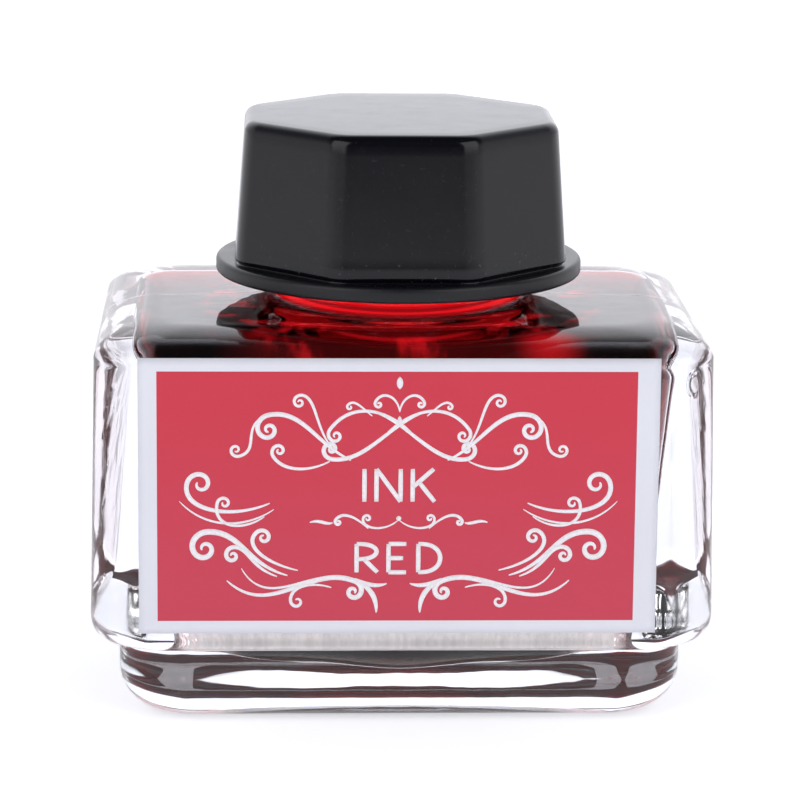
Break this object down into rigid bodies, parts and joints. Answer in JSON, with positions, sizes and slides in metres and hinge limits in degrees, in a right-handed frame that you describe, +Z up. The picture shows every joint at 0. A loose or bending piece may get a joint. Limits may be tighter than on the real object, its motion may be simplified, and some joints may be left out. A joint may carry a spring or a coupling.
{
  "type": "ink bottle",
  "caption": "Clear glass ink bottle, rounded block on a narrower foot, filled with red ink, with a printed paper front label and a black octagonal screw cap with a round flange.",
  "frame": {"origin": "middle of the flat underside the bottle stands on", "axes": "+Z up along the neck and the cap's screw axis, +X to the right as the label is read, the label faces -Y"},
  "size_m": [0.0604, 0.043, 0.0575],
  "materials": {
    "glass": "clear pressed glass, fire polished",
    "ink": "dark red liquid",
    "label": "coated paper, printed red with a pale border",
    "cap": "glossy black moulded plastic",
    "liner": "soft foamed polyethylene disc"
  },
  "bodies": {
    "bottle": {"glass_bottle": "glass", "ink": "ink", "front_label": "label"},
    "liner": {"cap_liner": "liner"},
    "cap": {"screw_cap": "cap"}
  },
  "joints": [
    {"name": "cap_lift", "type": "slide", "parent": "bottle", "child": "liner", "axis": [0, 0, 1], "range_m": [0, 0.01681]},
    {"name": "cap_turn", "type": "hinge", "parent": "liner", "child": "cap", "pos_m": [0, 0, 0.0542], "axis": [0, 0, 1], "range_deg": [0, 1440]}
  ],
  "couplings": [
    {"joint": "cap_lift", "follows": "cap_turn", "m_per_rad": 0.00066845}
  ]
}
